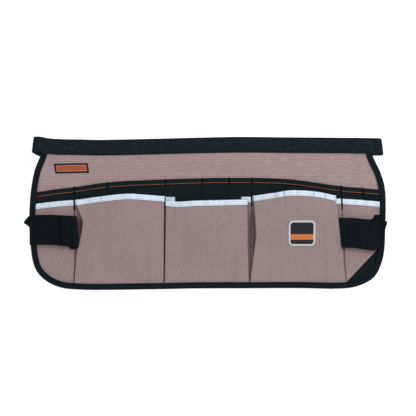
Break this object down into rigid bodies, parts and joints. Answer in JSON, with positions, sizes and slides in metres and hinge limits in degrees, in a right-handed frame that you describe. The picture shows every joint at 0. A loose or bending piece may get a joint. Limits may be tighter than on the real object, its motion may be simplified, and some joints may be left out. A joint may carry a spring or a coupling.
{
  "type": "carpenter nail apron",
  "caption": "Canvas waist apron lying flat: arched nail pouches with folded sides, side pockets, hammer loops and a webbing belt.",
  "frame": {"origin": "on the floor under the middle of the apron, on the backing panel's rear face", "axes": "+X to the right as seen from the front, +Y towards the belt, +Z off the floor, out of the pockets' front"},
  "size_m": [0.591, 0.2485, 0.0229],
  "materials": {
    "panel_canvas": "ribbed taupe canvas",
    "pocket_canvas": "ribbed taupe canvas",
    "black_cloth": "plain black woven cloth",
    "silver_tape": "silver reflective tape",
    "black_binding": "black binding tape",
    "black_webbing": "black woven webbing",
    "black_plastic": "matte",
    "label_weave": "rust woven label with a black edge",
    "patch_weave": "dark woven patch with a pale edge"
  },
  "bodies": {
    "root": {"backing_panel": "panel_canvas", "rear_pocket_layer": "black_cloth", "left_side_pocket": "pocket_canvas", "right_side_pocket": "pocket_canvas", "left_pouch": "pocket_canvas", "centre_pouch": "pocket_canvas", "right_pouch": "pocket_canvas", "left_side_mouth_tape": "silver_tape", "right_side_mouth_tape": "silver_tape", "left_pouch_mouth_tape": "silver_tape", "centre_pouch_mouth_tape": "silver_tape", "right_pouch_mouth_tape": "silver_tape", "edge_binding": "black_binding", "waist_belt": "black_webbing", "belt_buckle": "black_plastic", "left_hammer_loop": "black_webbing", "right_hammer_loop": "black_webbing", "woven_label": "label_weave", "front_patch": "patch_weave"}
  },
  "joints": []
}
